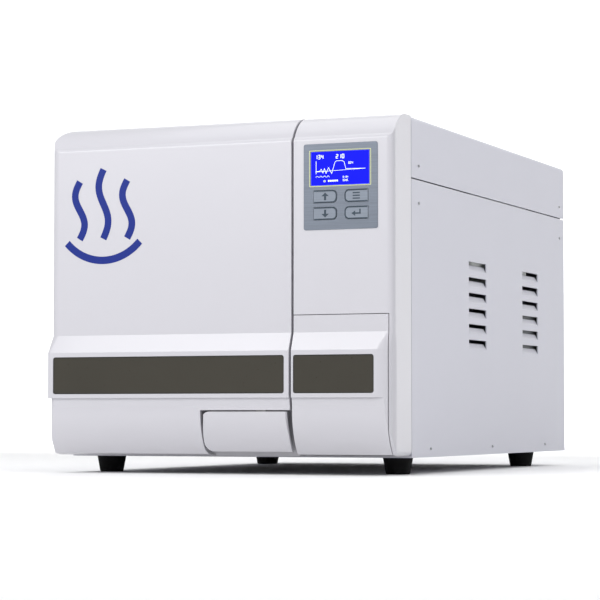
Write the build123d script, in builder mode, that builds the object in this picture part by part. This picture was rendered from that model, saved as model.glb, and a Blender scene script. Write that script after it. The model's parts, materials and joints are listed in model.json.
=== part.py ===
from build123d import *
import os
from math import cos, radians, sin, sqrt

# Benchtop steam autoclave: sheet-metal cabinet, round chamber, moulded front with a left-hinged
# door, a bottom-hinged service flap and a key panel.
# Millimetres. X right, Y back, Z up; the front faces -Y and Z = 0 is the table.

# ---- overall sizes ----
cabinet_width = 445.0
overall_depth = 700.0
overall_height = 420.0
foot_height = 20.0
sheet = 1.5  # cabinet sheet thickness

# ---- moulded front ----
moulding_depth = 69.5  # from the band's face back to the cabinet's front edge
seam = 1.5  # seam between mouldings and cabinet
wall = 2.5  # moulding wall
band_proud = 8.0  # band in front of the upper face
ledge_step = 2.5  # lower panel behind the band
band_bottom = 90.0
band_top = 145.0
flare_top = 165.5
crease_drop = 26.5  # crease below the top face
crease_back = 3.5  # crease behind the upper face
face_drop = 34.0  # where the flat face ends, below the top
bevel_back = 42.0  # where the top flat starts, behind the upper face
bevel_bulge = 6.0
face_bulge = 1.3  # bow of the face between its flat and the crease
lower_curve_back = 21.0  # bottom edge of the lower panel, behind the band
lower_curve_bulge = 5.5
lower_curve_top = 80.0
door_lower_inset = 1.8  # door's lower panel inside the band at the hinge side
moulding_bottom = 22.0
door_corner_top = 18.0
door_corner_bottom = 16.0
fascia_corner = 6.0
split_x = 97.5  # middle of the gap between door and right column
split_gap = 3.0
gap_edge_r = 1.5

# ---- trim strips ----
strip_bottom = 95.0
strip_top = 139.5
strip_corner = 3.0
strip_thickness = 2.0
strip_recess = 0.6
backing_lap = 3.0  # the wall behind a strip reaches this far past it
door_strip_left = -213.5
door_strip_right = 90.0
flap_strip_left = 101.5
flap_strip_right = 201.5

# ---- pressure chamber ----
chamber_bore = 250.0
chamber_length = 450.0
chamber_wall = 3.0
chamber_x = -54.0
chamber_z = 225.0
flange_width = 8.0
flange_thickness = 8.0
heater_thickness = 3.0
insulation_thickness = 16.0
loose = 0.3  # clearance between loosely fitted pieces
running = 0.05  # radial clearance of a pin that turns in its hole

# ---- door hinge and lock ----
hinge_x = -211.0
hinge_back = 36.0  # hinge axis in front of the cabinet's front edge
hinge_pin_r = 4.0
hinge_eye_r = 6.2
hinge_arm = 12.0
hinge_upper_z = 380.0
hinge_lower_z = 58.0
door_opening = 95.0
lock_bar_x = 52.0
lock_bar_width = 12.0
lock_bar_thickness = 4.0
lock_travel_per_rad = 11.5
hook_lower_z = 96.0
hook_upper_z = 346.0
hook_height = 9.5

# ---- door handle ----
handle_left = -17.0
handle_right = 93.0
handle_top = 74.0
handle_bottom = 27.0
handle_wall = 2.8
handle_corner = 10.0
handle_gap = 1.6
handle_axis_z = 57.0
handle_axis_depth = 10.8  # behind the band's face
handle_rod_r = 2.0
handle_lever = 12.0
pocket_back = 34.0  # pocket's back wall, behind the band's face
ear_x = ((2.0, 6.0), (74.0, 78.0))  # ears in the pocket that carry the handle's rod
lug_x = ((7.0, 13.0), (79.0, 85.0))  # lugs on the handle
lug_r = 4.0
ear_r = 3.6

# ---- service flap ----
flap_top = 185.5
flap_right = 216.5
flap_gap = 0.8
flap_wall = 2.8
flap_axis_z = 31.0
flap_axis_depth = 32.0
flap_rod_r = 2.5
flap_bottom = 24.0

# ---- key panel ----
plate_left = 112.0
plate_right = 204.0
plate_bottom = 284.0
plate_top = 384.0
plate_thickness = 1.5
plate_proud = 0.5
plate_corner = 2.5
window_left = 121.5
window_right = 193.2
window_bottom = 336.0
window_top = 374.5
key_width = 28.8
key_height = 14.4
key_corner = 5.5
key_left_x = 139.0
key_right_x = 177.7
key_upper_z = 322.5
key_lower_z = 302.8
key_proud = 0.5
key_depth = 7.0
key_travel = 1.0
key_clearance = 0.35

# ---- cabinet details ----
cover_seam_z = 347.0
cover_radius = 5.0
louvre_length = 70.0
louvre_pitch = 19.6
louvre_count = 6
louvre_top_z = 262.0
louvre_height = 11.0
louvre_slot = 4.0
louvre_depth = 4.5
louvre_columns = (-37.0, 187.0)
screw_r = 3.4
screw_head = 1.0
foot_top_r = 18.0
foot_bottom_r = 14.5
foot_x = 190.0
front_foot_y = -240.0
rear_foot_y = 245.0
rear_inset = 11.0  # rear panel's outer face in front of the cabinet's rear edge

# ---- derived places ----
half_w = cabinet_width / 2
front_y = -overall_depth / 2
back_y = overall_depth / 2
cabinet_front_y = front_y + moulding_depth
moulding_back_y = cabinet_front_y - seam
face_y = front_y + band_proud
lower_y = front_y + ledge_step
body_z = foot_height
inner_w = half_w - sheet
bulkhead_y = cabinet_front_y + sheet
bulkhead_thickness = 2.0
rear_y = back_y - rear_inset
door_right = split_x - split_gap / 2
column_left = split_x + split_gap / 2
chamber_r = chamber_bore / 2
vessel_r = chamber_r + chamber_wall
flange_r = vessel_r + flange_width
flange_front_y = bulkhead_y - flange_thickness
chamber_back_y = flange_front_y + chamber_length
hinge_y = cabinet_front_y - hinge_back
hinge_relief_r = hinge_back - 0.5
handle_axis_y = front_y + handle_axis_depth
pocket_y = front_y + pocket_back
strip_back_y = front_y + strip_recess + strip_thickness
flap_axis_y = front_y + flap_axis_depth


def write(part, name):
    """Label a finished piece and write it as its own STEP file."""
    part.label = name
    export_step(part, f"parts/{name}.step")


def block(low, high, mode=Mode.ADD):
    """A box between two corners, added to the open part."""
    middle = [(a + b) / 2 for a, b in zip(low, high)]
    with Locations(tuple(middle)):
        Box(*[b - a for a, b in zip(low, high)], mode=mode)


def rod(start, end, radius, mode=Mode.ADD):
    """A round bar between two points."""
    axis = Vector(*end) - Vector(*start)
    with BuildSketch(Plane(origin=start, z_dir=axis)) as section:
        Circle(radius)
    extrude(section.sketch, amount=axis.length, mode=mode)


def tube(start, end, outer_r, inner_r):
    """A plain ring or sleeve between two points."""
    rod(start, end, outer_r)
    rod(start, end, inner_r, mode=Mode.SUBTRACT)


def panel(low, high, corner_r, mode=Mode.ADD):
    """A slab facing the front with rounded corners in the front view."""
    with BuildSketch(Plane.XZ.offset(-high[1])) as face:
        with Locations(((low[0] + high[0]) / 2, (low[2] + high[2]) / 2)):
            RectangleRounded(high[0] - low[0], high[2] - low[2], corner_r)
    extrude(face.sketch, amount=high[1] - low[1], mode=mode)


os.makedirs("parts", exist_ok=True)


# ---- outer form shared by the door and the right-hand column ----
def plan(height, front, side_x, gap_x, corner_r, inset, back):
    """Outline seen from above: gap edge, front face, rounded outer corner and side."""
    toward_gap = 1 if gap_x > side_x else -1
    side = side_x + toward_gap * inset
    gap = gap_x - toward_gap * inset
    with BuildSketch(Plane.XY.offset(height)) as outline:
        with BuildLine():
            Polyline((gap, back), (gap, front + inset), (side, front + inset), (side, back), close=True)
        make_face()
        corner = outline.vertices().group_by(Axis.Y)[0]
        outer = corner.sort_by(Axis.X)[0 if toward_gap > 0 else -1]
        inner = corner.sort_by(Axis.X)[-1 if toward_gap > 0 else 0]
        fillet(outer, corner_r - inset if corner_r > inset + 0.5 else 0.5)
        if inset == 0:
            fillet(inner, gap_edge_r)
    return outline.sketch


def bulged(start, end, bulge):
    """Middle point of an arc that bows out by the given amount, left of start to end."""
    dy, dz = end[0] - start[0], end[1] - start[1]
    length = sqrt(dy * dy + dz * dz)
    return ((start[0] + end[0]) / 2 - dz / length * bulge, (start[1] + end[1]) / 2 + dy / length * bulge)


def moulding(side_x, gap_x, corners, inset, lower_side, lower_front):
    """Solid form of one front moulding, inset on every side but open at the back.

    corners holds the plan radii of the upper face, band and lower panel, then the front-view
    radii at the top and bottom outer corners.
    """
    upper_r, band_r, lower_r, top_r, bottom_r = corners
    back = moulding_back_y + (1 if inset else 0)
    toward_gap = 1 if gap_x > side_x else -1
    beyond = moulding_back_y + 20
    low, high = moulding_bottom + inset, overall_height - inset
    ledge = (lower_y + inset, band_bottom + inset)
    crease = (face_y + crease_back + inset, high - crease_drop)
    top_flat = (face_y + bevel_back + inset / 2, high)
    face_end = (face_y + inset, high - face_drop)
    curve_top = (lower_y + 1 + inset, lower_curve_top)
    curve_end = (front_y + lower_curve_back + inset, flap_bottom + inset)
    curve_foot = (curve_end[0] + 11, low)
    shield = front_y - 5
    with BuildPart() as form:
        add(plan(flare_top, face_y, side_x, gap_x, upper_r, inset, back))
        extrude(amount=overall_height - flare_top)
        add(plan(band_top, front_y, side_x, gap_x, band_r, inset, back))
        add(plan(flare_top, face_y, side_x, gap_x, upper_r, inset, back))
        loft(ruled=True)
        add(plan(band_bottom + inset, front_y, side_x, gap_x, band_r, inset, back))
        extrude(amount=band_top - band_bottom - inset)
        add(plan(moulding_bottom, lower_front, lower_side, gap_x, lower_r, inset, back))
        extrude(amount=band_bottom + inset - moulding_bottom)
        # top bevel and the lower panel's curve, as seen from the side
        with BuildSketch(Plane.YZ.offset(-half_w - 1)):
            with BuildLine():
                Line((beyond, high), top_flat)
                ThreePointArc(top_flat, bulged(top_flat, crease, -bevel_bulge), crease)
                ThreePointArc(crease, bulged(crease, face_end, -face_bulge), face_end)
                Polyline(face_end, (shield, face_end[1]), (shield, ledge[1]), ledge, curve_top)
                ThreePointArc(curve_top, bulged(curve_top, curve_end, -lower_curve_bulge), curve_end)
                Polyline(curve_end, curve_foot, (beyond, low), (beyond, high))
            make_face()
        extrude(amount=cabinet_width + 2, mode=Mode.INTERSECT)
        # rounded outer corners, as seen from the front
        with BuildSketch(Plane.XZ.offset(-moulding_back_y - 2)) as front:
            side = side_x + toward_gap * inset
            with BuildLine():
                Polyline((side, low), (side, high), (gap_x, high), (gap_x, low), close=True)
            make_face()
            outer = front.vertices().sort_by(Axis.X)[0:2] if toward_gap > 0 else front.vertices().sort_by(Axis.X)[2:4]
            fillet(outer.sort_by(Axis.Z)[1], top_r - inset if top_r > inset + 0.5 else 0.5)
            fillet(outer.sort_by(Axis.Z)[0], bottom_r - inset if bottom_r > inset + 0.5 else 0.5)
        extrude(amount=moulding_depth + 10, mode=Mode.INTERSECT)
    return form.part



door_corners = (12.0, 5.0, 10.0, door_corner_top, door_corner_bottom)
column_corners = (8.0, 20.0, 20.0, fascia_corner, 3.0)


def door_form(inset):
    """The door's solid form, inset for its cavity and for what is fitted inside it."""
    return moulding(-half_w, door_right, door_corners, inset, -half_w + door_lower_inset, lower_y)


def column_form(inset):
    """The right-hand column's solid form, inset for its cavity."""
    return moulding(half_w, column_left, column_corners, inset, half_w, front_y)


# ---- cabinet ----
floor_thickness = 2.0
rim_height = 14.0
bottom_screw_z = body_z + 10
bottom_screw_y = (-217.0, 19.0, 251.0)
with BuildPart() as base_chassis:
    block((-inner_w, cabinet_front_y, body_z), (inner_w, rear_y, body_z + floor_thickness))
    for side in (-1, 1):
        edge = sorted((side * inner_w, side * (inner_w - sheet)))
        block((edge[0], bulkhead_y + bulkhead_thickness, body_z), (edge[1], rear_y - sheet, body_z + rim_height))
        for y in bottom_screw_y:
            rod(
                (side * (inner_w - 6), y, bottom_screw_z),
                (side * half_w, y, bottom_screw_z),
                screw_r / 2,
                mode=Mode.SUBTRACT,
            )
write(base_chassis.part, "base_chassis")

panel_top_z = cover_seam_z - sheet / 2
side_louvre_z = [louvre_top_z - louvre_pitch * row for row in range(louvre_count)]
cover_screws = ((cabinet_front_y + 23.5, cover_seam_z + 16), (back_y - 23.5, cover_seam_z + 16))
panel_screws = (
    (cabinet_front_y + 23.5, cover_seam_z - 28),
    (back_y - 23.5, cover_seam_z - 28),
) + tuple((y, bottom_screw_z) for y in bottom_screw_y)


def side_panel(side):
    """Flat side sheet with two columns of louvres pressed inward."""
    outside = side * half_w
    inside = side * inner_w
    x_low, x_high = min(outside, inside), max(outside, inside)
    with BuildPart() as sheet_panel:
        block((x_low, cabinet_front_y, body_z), (x_high, back_y, panel_top_z))
        for column in louvre_columns:
            for top in side_louvre_z:
                low_y, high_y = column - louvre_length / 2, column + louvre_length / 2
                block((x_low - 1, low_y, top - louvre_height), (x_high + 1, high_y, top), mode=Mode.SUBTRACT)
                tip_x = outside - side * louvre_depth
                tip_z = top - louvre_slot
                foot_z = top - louvre_height
                with BuildSketch(Plane.XZ.offset(-high_y)):
                    with BuildLine():
                        Polyline(
                            (outside, foot_z - 0.5),
                            (tip_x, tip_z),
                            (tip_x - side * sheet, tip_z - sheet / 2),
                            (inside, foot_z - 0.5),
                            close=True,
                        )
                    make_face()
                extrude(amount=louvre_length)
        for y, z in panel_screws:
            rod((x_low - 1, y, z), (x_high + 1, y, z), screw_r / 2, mode=Mode.SUBTRACT)
    return sheet_panel.part


write(side_panel(-1), "side_panel_left")
write(side_panel(1), "side_panel_right")

cap_x = 150.0
cap_y = 90.0
cap_r = 30.0
cap_depth = 9.0
with BuildPart() as top_cover:
    with BuildSketch(Plane.XZ.offset(-back_y)):
        for inset, mode in ((0, Mode.ADD), (sheet, Mode.SUBTRACT)):
            with BuildSketch(mode=mode) as shape:
                with BuildLine():
                    low = cover_seam_z + sheet / 2 - (5 if inset else 0)
                    Polyline(
                        (-half_w + inset, low),
                        (-half_w + inset, overall_height - inset),
                        (half_w - inset, overall_height - inset),
                        (half_w - inset, low),
                        close=True,
                    )
                make_face()
                fillet(shape.vertices().group_by(Axis.Y)[-1], cover_radius - inset)
    extrude(amount=back_y - cabinet_front_y)
    rod((cap_x, cap_y, overall_height - 5), (cap_x, cap_y, overall_height + 1), cap_r + loose, mode=Mode.SUBTRACT)
    for side in (-1, 1):
        for y, z in cover_screws:
            rod((side * (inner_w - 1), y, z), (side * (half_w + 1), y, z), screw_r / 2, mode=Mode.SUBTRACT)
write(top_cover.part, "top_cover")

bulkhead_low = body_z + floor_thickness
bulkhead_high = overall_height - sheet - loose
bay_left = column_left + 8
bay_right = half_w - 14
with BuildPart() as front_bulkhead:
    block(
        (-inner_w + loose, bulkhead_y, bulkhead_low),
        (inner_w - loose, bulkhead_y + bulkhead_thickness, bulkhead_high),
    )
    edges = front_bulkhead.edges().filter_by(Axis.Y)
    fillet(edges.group_by(Axis.Z)[-1], cover_radius)
    rod((chamber_x, bulkhead_y - 1, chamber_z), (chamber_x, bulkhead_y + 5, chamber_z), vessel_r + loose, mode=Mode.SUBTRACT)
    block((bay_left, bulkhead_y - 1, 40), (bay_right, bulkhead_y + 5, 180), mode=Mode.SUBTRACT)
    block((bay_left, bulkhead_y - 1, 270), (bay_right, bulkhead_y + 5, 395), mode=Mode.SUBTRACT)
write(front_bulkhead.part, "front_bulkhead")

fan_x = -20.0
fan_z = 290.0
fan_size = 119.0
fan_depth = 25.0
fan_bore_r = 55.0
inlet_x = 165.0
inlet_z = 75.0
inlet_width = 47.0
inlet_height = 27.0
switch_x = inlet_x
switch_z = 120.0
valve_x = -150.0
valve_z = 330.0
rear_screws = [(x, z) for x in (-205.0, -70.0, 70.0, 205.0) for z in (40.0, 395.0)]
rear_low = body_z + floor_thickness
with BuildPart() as rear_panel:
    block((-inner_w + loose, rear_y - sheet, rear_low), (inner_w - loose, rear_y, bulkhead_high))
    fillet(rear_panel.edges().filter_by(Axis.Y).group_by(Axis.Z)[-1], cover_radius)
    with BuildSketch(Plane.XZ.offset(-rear_y - 1)) as grille:
        with Locations((fan_x, fan_z)):
            for radius in (52.0, 40.0, 28.0, 16.0):
                Circle(radius)
                Circle(radius - 7, mode=Mode.SUBTRACT)
            Rectangle(2 * fan_bore_r, 4, mode=Mode.SUBTRACT)
            Rectangle(4, 2 * fan_bore_r, mode=Mode.SUBTRACT)
    extrude(amount=5, mode=Mode.SUBTRACT)
    panel(
        (inlet_x - inlet_width / 2 + 5, rear_y - 5, inlet_z - inlet_height / 2 + 1),
        (inlet_x + inlet_width / 2 - 5, rear_y + 1, inlet_z + inlet_height / 2 - 1),
        2,
        mode=Mode.SUBTRACT,
    )
    panel((switch_x - 13, rear_y - 5, switch_z - 9.2), (switch_x + 13, rear_y + 1, switch_z + 9.2), 0.5, mode=Mode.SUBTRACT)
    rod((valve_x, rear_y - 5, valve_z), (valve_x, rear_y + 1, valve_z), 9, mode=Mode.SUBTRACT)
    for x, z in rear_screws:
        rod((x, rear_y - 5, z), (x, rear_y + 1, z), screw_r / 2, mode=Mode.SUBTRACT)
write(rear_panel.part, "rear_panel")

for name, x, y in (
    ("foot_front_left", -foot_x, front_foot_y),
    ("foot_front_right", foot_x, front_foot_y),
    ("foot_rear_left", -foot_x, rear_foot_y),
    ("foot_rear_right", foot_x, rear_foot_y),
):
    with BuildPart() as foot:
        with BuildSketch(Plane(origin=(x, y, 0), x_dir=(1, 0, 0), z_dir=(0, -1, 0))):
            with BuildLine():
                Polyline(
                    (0, 0),
                    (foot_bottom_r - 1, 0),
                    (foot_bottom_r, 1),
                    (foot_top_r, foot_height),
                    (0, foot_height),
                    close=True,
                )
            make_face()
        revolve(axis=Axis((x, y, 0), (0, 0, 1)))
    write(foot.part, name)

screw_length = 5.0
with BuildPart() as cabinet_screws:
    for side in (-1, 1):
        for y, z in panel_screws + cover_screws:
            face = side * half_w
            rod((face, y, z), (face + side * screw_head, y, z), screw_r)
            rod((face - side * screw_length, y, z), (face, y, z), screw_r / 2)
    for x, z in rear_screws:
        rod((x, rear_y, z), (x, rear_y + screw_head, z), screw_r)
        rod((x, rear_y - screw_length, z), (x, rear_y, z), screw_r / 2)
write(cabinet_screws.part, "cabinet_screws")

# ---- right-hand column: fascia, key panel and service flap ----
column_outer = column_form(0)
column_cavity = column_form(wall)
flap_cavity = column_form(flap_wall)
flap_return_y = front_y + 22.0
flap_rod_left = column_left + wall
flap_rod_right = half_w - wall

keys = (
    ("key_up", key_left_x, key_upper_z, 1),
    ("key_menu", key_right_x, key_upper_z, -1),
    ("key_down", key_left_x, key_lower_z, 1),
    ("key_enter", key_right_x, key_lower_z, -1),
)


def key_outline(x, z, round_side, margin, plane_y):
    """D-shaped key seen from the front, rounded on one side."""
    with BuildSketch(Plane.XZ.offset(-plane_y)) as outline:
        with Locations((x, z)):
            Rectangle(key_width + 2 * margin, key_height + 2 * margin)
        ends = outline.vertices().group_by(Axis.X)[-1 if round_side > 0 else 0]
        fillet(ends, key_corner)
    return outline.sketch


plate_front_y = face_y - plate_proud
plate_back_y = plate_front_y + plate_thickness
with BuildPart() as fascia:
    add(column_outer)
    add(column_cavity, mode=Mode.SUBTRACT)
    block(
        (column_left - 1, front_y - 1, moulding_bottom - 1),
        (flap_right + flap_gap, flap_return_y + 1, flap_top + flap_gap),
        mode=Mode.SUBTRACT,
    )
    rod(
        (column_left - 1, flap_axis_y, flap_axis_z),
        (flap_right + flap_gap, flap_axis_y, flap_axis_z),
        lower_curve_back - flap_axis_depth + 26.0,
        mode=Mode.SUBTRACT,
    )
    # bosses that carry the flap's hinge rod
    for low_x, high_x in ((flap_rod_left - 0.5, flap_rod_left + 5), (flap_rod_right - 7, flap_rod_right + 0.5)):
        block((low_x, flap_axis_y - 5, flap_axis_z - 5), (high_x, moulding_back_y, flap_axis_z + 5))
    rod(
        (flap_rod_left, flap_axis_y, flap_axis_z),
        (flap_rod_right, flap_axis_y, flap_axis_z),
        flap_rod_r,
        mode=Mode.SUBTRACT,
    )
    panel(
        (plate_left, plate_front_y, plate_bottom),
        (plate_right, plate_back_y, plate_top),
        plate_corner,
        mode=Mode.SUBTRACT,
    )
    block(
        (window_left - loose, face_y - 2, window_bottom - loose),
        (window_right + loose, face_y + 5, window_top + loose),
        mode=Mode.SUBTRACT,
    )
    for _, x, z, round_side in keys:
        extrude(key_outline(x, z, round_side, key_clearance, face_y + 5), amount=8, mode=Mode.SUBTRACT)
write(fascia.part, "fascia")

with BuildPart() as control_plate:
    panel((plate_left, plate_front_y, plate_bottom), (plate_right, plate_back_y, plate_top), plate_corner)
    block(
        (window_left - loose, plate_front_y - 1, window_bottom - loose),
        (window_right + loose, plate_back_y + 1, window_top + loose),
        mode=Mode.SUBTRACT,
    )
    for _, x, z, round_side in keys:
        extrude(key_outline(x, z, round_side, key_clearance, plate_back_y + 1), amount=4, mode=Mode.SUBTRACT)
write(control_plate.part, "control_plate")

for name, x, z, round_side in keys:
    with BuildPart() as key:
        extrude(key_outline(x, z, round_side, 0, plate_front_y - key_proud + key_depth), amount=key_depth)
        fillet(key.faces().sort_by(Axis.Y)[0].edges(), 0.4)
    write(key.part, name)

module_front_y = face_y + wall + 0.6
window_depth = wall + plate_proud - 0.2
with BuildPart() as lcd_window:
    block(
        (window_left, plate_front_y + 0.2, window_bottom),
        (window_right, plate_front_y + 0.2 + window_depth, window_top),
    )
write(lcd_window.part, "lcd_window")

with BuildPart() as lcd_module:
    block(
        (window_left - 4, module_front_y + 0.1, window_bottom - 3),
        (window_right + 4, module_front_y + 8, window_top + 3),
    )
write(lcd_module.part, "lcd_module")

board_front_y = plate_front_y - key_proud + key_depth + key_travel + 1.5
with BuildPart() as keypad_board:
    block((key_left_x - 18, board_front_y, key_lower_z - 13), (key_right_x + 18, board_front_y + 1.6, key_upper_z + 8))
    for _, x, z, _ in keys:
        block((x - 3, board_front_y - 1.4, z - 3), (x + 3, board_front_y, z + 3))
write(keypad_board.part, "keypad_board")

with BuildPart() as service_flap:
    add(column_outer)
    block(
        (column_left - 1, front_y - 1, flap_bottom),
        (flap_right, flap_return_y, flap_top),
        mode=Mode.INTERSECT,
    )
    add(flap_cavity, mode=Mode.SUBTRACT)
    # knuckles that turn on the hinge rod
    for low_x in (flap_rod_left + 8, flap_right - 20):
        rod((low_x, flap_axis_y, flap_axis_z), (low_x + 8, flap_axis_y, flap_axis_z), flap_rod_r + 2.5)
        with BuildSketch(Plane.YZ.offset(low_x)):
            with BuildLine():
                Polyline(
                    (flap_axis_y, flap_axis_z + 5),
                    (front_y + 10, flap_axis_z + 26),
                    (front_y + 10, flap_axis_z + 12),
                    (front_y + 17, flap_axis_z + 2),
                    (flap_axis_y, flap_axis_z - 3),
                    close=True,
                )
            make_face()
        extrude(amount=8)
    rod(
        (flap_rod_left, flap_axis_y, flap_axis_z),
        (flap_right, flap_axis_y, flap_axis_z),
        flap_rod_r + running,
        mode=Mode.SUBTRACT,
    )
    panel(
        (flap_strip_left, front_y - 1, strip_bottom),
        (flap_strip_right, strip_back_y, strip_top),
        strip_corner,
        mode=Mode.SUBTRACT,
    )
    # backing that closes the strip's recess
    block(
        (column_left + 0.5, strip_back_y, strip_bottom - backing_lap),
        (flap_strip_right + backing_lap, strip_back_y + wall, strip_top + backing_lap),
    )
write(service_flap.part, "service_flap")

with BuildPart() as flap_trim_strip:
    panel(
        (flap_strip_left, front_y + strip_recess, strip_bottom),
        (flap_strip_right, strip_back_y, strip_top),
        strip_corner,
    )
write(flap_trim_strip.part, "flap_trim_strip")

with BuildPart() as flap_hinge_rod:
    rod((flap_rod_left, flap_axis_y, flap_axis_z), (flap_rod_right, flap_axis_y, flap_axis_z), flap_rod_r)
write(flap_hinge_rod.part, "flap_hinge_rod")

# ---- door ----
door_outer = door_form(0)
door_cavity = door_form(wall)
pocket_left = handle_left - handle_gap
pocket_top = handle_top + handle_gap
relief = (hinge_x, hinge_y)


def hinge_relief():
    """Cut the door's rear left edge back to an arc about the hinge axis."""
    with BuildSketch(Plane.XY.offset(moulding_bottom - 1)) as outside:
        with Locations(((hinge_x - half_w - 1) / 2, (hinge_y + moulding_back_y + 2) / 2)):
            Rectangle(half_w + 1 + hinge_x, moulding_back_y + 2 - hinge_y)
        with Locations(relief):
            Circle(hinge_relief_r, mode=Mode.SUBTRACT)
    extrude(outside.sketch, amount=overall_height, mode=Mode.SUBTRACT)


def pocket_opening(corner, depth_y):
    """Cut the handle's pocket: open below and to the right, rounded where the handle is."""
    with BuildSketch(Plane.XZ.offset(-depth_y)) as opening:
        with BuildLine():
            Polyline(
                (corner[0], moulding_bottom - 1),
                corner,
                (door_right + 1, corner[1]),
                (door_right + 1, moulding_bottom - 1),
                close=True,
            )
        make_face()
        fillet(opening.vertices().group_by(Axis.X)[0].sort_by(Axis.Z)[-1], handle_corner + handle_gap)
    extrude(opening.sketch, amount=depth_y - front_y + 1, mode=Mode.SUBTRACT)


slot_x = (lock_bar_x - lock_bar_width / 2 - 2, lock_bar_x + lock_bar_width / 2 + 2)
lock_bar_y = front_y + 21.0
with BuildPart() as pocket_block:
    add(door_outer)
    block(
        (pocket_left - wall, front_y - 1, moulding_bottom - 1),
        (door_right, pocket_y + wall, pocket_top + wall),
        mode=Mode.INTERSECT,
    )
with BuildPart() as door_cover:
    add(door_outer)
    add(door_cavity, mode=Mode.SUBTRACT)
    add(pocket_block.part)
    pocket_opening((pocket_left, pocket_top), pocket_y)
    block(
        (slot_x[0], lock_bar_y - 3, pocket_top - 1),
        (slot_x[1], lock_bar_y + lock_bar_thickness + 3, pocket_top + wall + 1),
        mode=Mode.SUBTRACT,
    )
    hinge_relief()
    panel(
        (door_strip_left, front_y - 1, strip_bottom),
        (door_strip_right, strip_back_y, strip_top),
        strip_corner,
        mode=Mode.SUBTRACT,
    )
    block(
        (door_strip_left - backing_lap, strip_back_y, strip_bottom - backing_lap),
        (door_strip_right + backing_lap, strip_back_y + wall, strip_top + backing_lap),
    )
    # ears that carry the handle's rod
    for low_x, high_x in ear_x:
        block((low_x, handle_axis_y, handle_axis_z - 5), (high_x, pocket_y + 1, handle_axis_z + 2))
        rod((low_x, handle_axis_y, handle_axis_z), (high_x, handle_axis_y, handle_axis_z), ear_r)
    rod(
        (ear_x[0][0] - 1, handle_axis_y, handle_axis_z),
        (ear_x[1][1] + 1, handle_axis_y, handle_axis_z),
        handle_rod_r + running,
        mode=Mode.SUBTRACT,
    )
write(door_cover.part, "door_cover")

with BuildPart() as door_trim_strip:
    panel(
        (door_strip_left, front_y + strip_recess, strip_bottom),
        (door_strip_right, strip_back_y, strip_top),
        strip_corner,
    )
write(door_trim_strip.part, "door_trim_strip")

opening_r = flange_r + 3.0
keeper_x = (78.0, 89.0)
keeper_height = 10.0
hooks = (hook_lower_z, hook_upper_z)
inner_panel_y = moulding_back_y - 1.5
arm_y = (hinge_y - 8, hinge_y + 4)
leg_x = (hinge_x + 37, hinge_x + 48)
arm_levels = ((hinge_upper_z, 1), (hinge_lower_z, -1))
with BuildPart() as door_inner_panel:
    add(door_form(wall + loose))
    block(
        (-half_w, inner_panel_y - sheet, moulding_bottom),
        (door_right, inner_panel_y, overall_height),
        mode=Mode.INTERSECT,
    )
    rod((chamber_x, inner_panel_y - 5, chamber_z), (chamber_x, inner_panel_y + 5, chamber_z), opening_r, mode=Mode.SUBTRACT)
    block(
        (-half_w, inner_panel_y - 5, chamber_z - opening_r),
        (chamber_x, inner_panel_y + 5, chamber_z + opening_r),
        mode=Mode.SUBTRACT,
    )
    for level, _ in arm_levels:
        block(
            (-half_w, inner_panel_y - 5, level - 5),
            (leg_x[1] + 18, inner_panel_y + 5, level + hinge_arm + 5),
            mode=Mode.SUBTRACT,
        )
    for hook in hooks:
        block(
            (keeper_x[0] - 4, inner_panel_y - 5, hook - 1),
            (keeper_x[1] + 2.5, inner_panel_y + 5, hook + hook_height + keeper_height + 3),
            mode=Mode.SUBTRACT,
        )
    panel(
        (-half_w + wall + loose, inner_panel_y - 5, moulding_bottom + wall + loose),
        (door_right + half_w, inner_panel_y + 5, overall_height - wall - loose),
        door_corner_top - wall - loose,
        mode=Mode.INTERSECT,
    )
    hinge_relief()
write(door_inner_panel.part, "door_inner_panel")

gasket_back_y = flange_front_y - loose
gasket_thickness = 3.5
plate_thick = 8.0
door_plate_back_y = gasket_back_y - gasket_thickness
door_plate_front_y = door_plate_back_y - plate_thick
with BuildPart() as door_gasket:
    tube(
        (chamber_x, door_plate_back_y, chamber_z),
        (chamber_x, gasket_back_y, chamber_z),
        flange_r - 2,
        chamber_r + 1,
    )
write(door_gasket.part, "door_gasket")

with BuildPart() as door_plate:
    rod((chamber_x, door_plate_front_y, chamber_z), (chamber_x, door_plate_back_y, chamber_z), flange_r - 1)
    fillet(door_plate.edges().group_by(Axis.Y)[0], 2)
write(door_plate.part, "door_plate")

yoke_half_height = 32.0
yoke_rail = 8.0
yoke_hub_r = yoke_half_height - yoke_rail - 4.0
yoke_right = chamber_x + 120.0
yoke_front_y = door_plate_front_y - 20.0
knuckle_length = 12.0
knuckles = (
    (hinge_upper_z - 0.5 - knuckle_length, hinge_upper_z - 0.5),
    (hinge_lower_z + hinge_arm + 0.5, hinge_lower_z + hinge_arm + 0.5 + knuckle_length),
)
with BuildPart() as door_yoke:
    block(
        (hinge_x, yoke_front_y, chamber_z - yoke_half_height),
        (yoke_right, yoke_front_y + 6, chamber_z + yoke_half_height),
    )
    for rail in (-1, 1):
        z = chamber_z + rail * (yoke_half_height - yoke_rail / 2)
        block((hinge_x, yoke_front_y, z - yoke_rail / 2), (yoke_right, door_plate_front_y, z + yoke_rail / 2))
    rod((chamber_x, yoke_front_y - 4, chamber_z), (chamber_x, door_plate_front_y, chamber_z), yoke_hub_r)
    block((hinge_x - 4, hinge_y - 4, knuckles[1][1]), (hinge_x + 4, hinge_y + 4, knuckles[0][0]))
    for low, high in knuckles:
        rod((hinge_x, hinge_y, low), (hinge_x, hinge_y, high), hinge_eye_r)
    upper, lower = knuckles
    rod((hinge_x, hinge_y, upper[0]), (hinge_x, hinge_y, upper[1] + 1), hinge_pin_r + running, mode=Mode.SUBTRACT)
    rod((hinge_x, hinge_y, lower[0] - 1), (hinge_x, hinge_y, lower[1]), hinge_pin_r + running, mode=Mode.SUBTRACT)
write(door_yoke.part, "door_yoke")

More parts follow.
